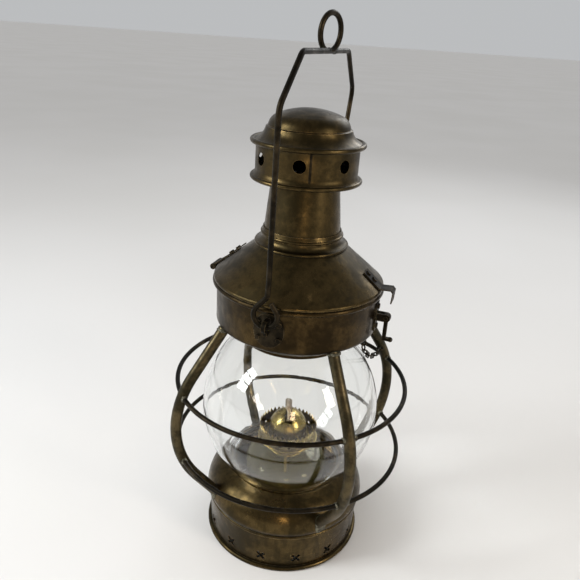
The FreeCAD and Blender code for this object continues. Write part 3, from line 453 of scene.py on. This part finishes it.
def lump(size, frame_axes, place, seed, rough=0.22):
    """Irregular rounded blob as a bmesh: size is half its length along each of the axes."""
    mesh = bmesh.new()
    bmesh.ops.create_icosphere(mesh, subdivisions=4, radius=1.0)
    for vert in mesh.verts:
        swell = 1 + rough * noise.noise(vert.co * 1.7 + Vector((seed, 2 * seed, 0)))
        swell += 0.4 * rough * noise.noise(vert.co * 4.1 + Vector((0, seed, seed)))
        local = Vector((vert.co.x * size[0], vert.co.y * size[1], vert.co.z * size[2])) * swell
        vert.co = frame_axes @ local + place
    return mesh


def radial_axes(angle, tilt=0.0):
    """X outwards, Y around, Z up, at an angle round the lantern, tilted outwards by tilt."""
    return Matrix.Rotation(math.radians(angle), 3, "Z") @ Matrix.Rotation(math.radians(tilt), 3, "Y")


def rib_slice(node, low, high):
    """Middle of the part of a rib between two heights."""
    points = [v.co for v in frame["nodes"][node].data.vertices if low <= v.co.z <= high]
    return sum(points, Vector()) / len(points)


def ring_place(ring, angle):
    """Where the middle of a guard ring's wire is, at an angle."""
    low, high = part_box(ring)
    radius = high.x - RING_WIRE
    turn = math.radians(angle)
    return Vector((radius * math.cos(turn), radius * math.sin(turn), (low.z + high.z) / 2))


def merged(name, meshes, material, body):
    """One piece of several blobs."""
    whole = bmesh.new()
    for part in meshes:
        data = bpy.data.meshes.new("part")
        part.to_mesh(data)
        part.free()
        whole.from_mesh(data)
        bpy.data.meshes.remove(data)
    return piece(name, whole, material, body)


def solder_cuffs(material):
    """Solder where each guard ring goes through a rib, one cuff each side."""
    size = (3.3 * MM, 2.6 * MM, 3.3 * MM)
    for ring in RINGS:
        cuffs = []
        ring_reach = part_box(ring)[1].x
        spread = math.degrees((RIB_RADIUS + 0.3 * MM) / (ring_reach - RING_WIRE))
        for count, angle in enumerate(RIBS.values()):
            for side in (-1, 1):
                place = ring_place(ring, angle + side * spread)
                cuffs.append(lump(size, radial_axes(angle), place, count + side * 0.3))
        merged(f"solder_{ring}", cuffs, material, "root")


def wick_row(mesh, share, low, length, is_top):
    """One loop of the wick's outline, share of the way up: it swells, narrows and leans where it is frayed."""
    half_width, half_thick = 11.0 * MM, 1.6 * MM
    fray_length, lean, ragged_drop = 9 * MM, 1.6 * MM, 1.8 * MM
    frayed = max(0.0, 1 - length * (1 - share) / fray_length)
    shrink = 1 - 0.28 * frayed ** 2
    row = []
    for count in range(WICK_ACROSS):
        angle = 2 * math.pi * count / WICK_ACROSS
        side = math.copysign(abs(math.cos(angle)) ** 0.35, math.cos(angle))
        thick = math.copysign(abs(math.sin(angle)) ** 0.6, math.sin(angle))
        ragged = 0.0
        if is_top:
            ragged = -ragged_drop * (0.5 + 0.5 * noise.noise(Vector((side * 3.0, thick, 4.0))))
        lumpy = noise.noise(Vector((share * 30, side * 2, 1)))
        swell = 1 + 1.1 * math.sin(min(1.0, frayed) * 2.3) + 0.25 * lumpy
        x = thick * half_thick * swell - lean * frayed ** 2
        y = side * half_width * shrink
        row.append(mesh.verts.new((x, y, low + length * share + ragged)))
    return row


def make_wick(material):
    """Woven ribbon with rounded edges and a ragged, leaning top that flattens as it goes down into its tube."""
    low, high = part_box("wick")
    length = high.z - low.z
    turn = Matrix.Rotation(LAMP_TURN, 3, "Z")
    mesh = bmesh.new()
    rows = []
    for step in range(WICK_ALONG + 1):
        rows.append(wick_row(mesh, step / WICK_ALONG, low.z, length, step == WICK_ALONG))
    for lower, upper in zip(rows, rows[1:]):
        for count in range(WICK_ACROSS):
            after = (count + 1) % WICK_ACROSS
            mesh.faces.new((lower[count], lower[after], upper[after], upper[count]))
    mesh.faces.new(list(reversed(rows[0])))
    mesh.faces.new(rows[-1])
    bmesh.ops.rotate(mesh, verts=mesh.verts, cent=(0, 0, 0), matrix=turn)
    wick = piece("woven_wick", mesh, material, "wick")
    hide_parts("wick")
    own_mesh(wick)


def rib_feet(material):
    """Each rib's foot is hammered flat on the base drum and soldered: a tongue and its fillet."""
    size = (2.6 * MM, 6.2 * MM, 9.0 * MM)
    sunk = Vector((0, 0, 1.5 * MM))
    for count, (node, angle) in enumerate(RIBS.items()):
        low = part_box(node)[0].z
        foot = rib_slice(node, low, low + 6 * MM)
        tongue = lump(size, radial_axes(angle, 4), foot - sunk, count)
        piece(f"foot_solder_{node.removeprefix(RIB_PREFIX)}", tongue, material, "root")


def rib_tops(material):
    """Solder round each rib's upper end, under the hood drum."""
    size = (6.6 * MM, 6.8 * MM, 3.0 * MM)
    for count, (node, angle) in enumerate(RIBS.items()):
        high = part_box(node)[1].z
        top = rib_slice(node, high - 7 * MM, high)
        collar = lump(size, radial_axes(angle), top, count + 0.5, 0.16)
        piece(f"top_solder_{node.removeprefix(RIB_PREFIX)}", collar, material, "root")


def ridge(profile, angle, half_width, height):
    """Low rounded ridge that runs along a line of (radius, z) points at an angle round the lantern."""
    turn = Matrix.Rotation(math.radians(angle), 3, "Z")
    across = 8
    sunk = 0.15 * MM
    mesh = bmesh.new()
    rows = []
    for radius, z in profile:
        row = []
        for count in range(across + 1):
            side = 2 * count / across - 1
            rise = height * math.sqrt(1 - side * side) - sunk
            row.append(mesh.verts.new(turn @ Vector((radius + rise, side * half_width, z))))
        rows.append(row)
    for lower, upper in zip(rows, rows[1:]):
        for count in range(across):
            mesh.faces.new((lower[count], lower[count + 1], upper[count + 1], upper[count]))
    return mesh


def stretched(profile, steps=12):
    """The same line with points added evenly along each of its runs."""
    points = []
    for (first_r, first_z), (last_r, last_z) in zip(profile, profile[1:]):
        for step in range(steps):
            share = step / steps
            points.append((first_r + (last_r - first_r) * share, first_z + (last_z - first_z) * share))
    return points + [profile[-1]]


def lap_seams(materials):
    """Soldered lap seams of the rolled sheets: the band's is in front, the others behind.

    Each has its body, its angle round the lantern, and the line of its sheet as radius and height in mm.
    """
    half_width, height = 1.3 * MM, 0.55 * MM
    sheets = {
        "vent_band": ("lid", -69, ((48.5, 412.0), (48.5, 439.4))),
        "chimney": ("lid", 96, ((37.3, 361.0), (33.2, 402.0), (33.0, 409.0))),
        "hood_drum": ("root", 72, ((82.0, 268.0), (82.0, 301.6))),
        "base_skirt": ("root", 78, ((88.0, 6.0), (88.0, 40.0)))}
    for name, (body, angle, profile) in sheets.items():
        metres = [(radius * MM, z * MM) for radius, z in stretched(profile)]
        seam = ridge(metres, angle, half_width, height)
        piece(f"seam_{name}", seam, materials["dark_brass"], body)


def torus(centre, axes, radius, wire):
    """Ring of round wire in the XY plane of axes."""
    around, across = 36, 10
    mesh = bmesh.new()
    rows = []
    for step in range(around):
        turn = 2 * math.pi * step / around
        row = []
        for count in range(across):
            angle = 2 * math.pi * count / across
            reach = radius + wire * math.cos(angle)
            local = Vector((reach * math.cos(turn), reach * math.sin(turn), wire * math.sin(angle)))
            row.append(mesh.verts.new(centre + axes @ local))
        rows.append(row)
    for step, row in enumerate(rows):
        after = rows[(step + 1) % around]
        for count in range(across):
            last = (count + 1) % across
            mesh.faces.new((row[count], after[count], after[last], row[last]))
    return mesh


def hook_ring(material):
    """Small wire ring on the tip of the swing hook."""
    ring_radius, wire = 2.3 * MM, 0.55 * MM
    spots = (v.co for v in frame["nodes"]["swing_hook"].data.vertices)
    tip = max(spots, key=lambda spot: spot.x - spot.z)
    centre = Vector((tip.x - 1.4 * MM, 0, tip.z + 1.7 * MM))
    ring = torus(centre, Matrix.Rotation(math.radians(90), 3, "X"), ring_radius, wire)
    piece("hook_ring", ring, material, "hook")


def bail_brazing(material):
    """Brazed lap in the bail's top bar, and the braze under the lifting loop."""
    bar_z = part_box("bail_wire")[1].z - BAIL_RADIUS
    loop_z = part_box("lifting_loop")[0].z
    spots = (v.co for v in frame["nodes"]["bail_wire"].data.vertices)
    bar_x = max(spots, key=lambda spot: spot.z).x
    axes = Matrix.Identity(3)
    lap_place = Vector((bar_x, 19 * MM, bar_z))
    lap = lump((2.9 * MM, 8.5 * MM, 2.9 * MM), axes, lap_place, 3, 0.10)
    piece("bail_lap", lap, material, "bail")
    braze_place = Vector((bar_x, 0, loop_z + 0.6 * MM))
    braze = lump((2.8 * MM, 6.0 * MM, 2.6 * MM), axes, braze_place, 5, 0.16)
    piece("loop_braze", braze, material, "bail")


make_camera()
make_lights()
make_room()
make_floor()
finishes = make_materials()
paint_frame(finishes)
solder_cuffs(finishes["solder"])
rib_feet(finishes["solder"])
rib_tops(finishes["solder"])
lap_seams(finishes)
hook_ring(finishes["dark_brass"])
bail_brazing(finishes["dark_brass"])
make_wick(finishes["wick_cotton"])
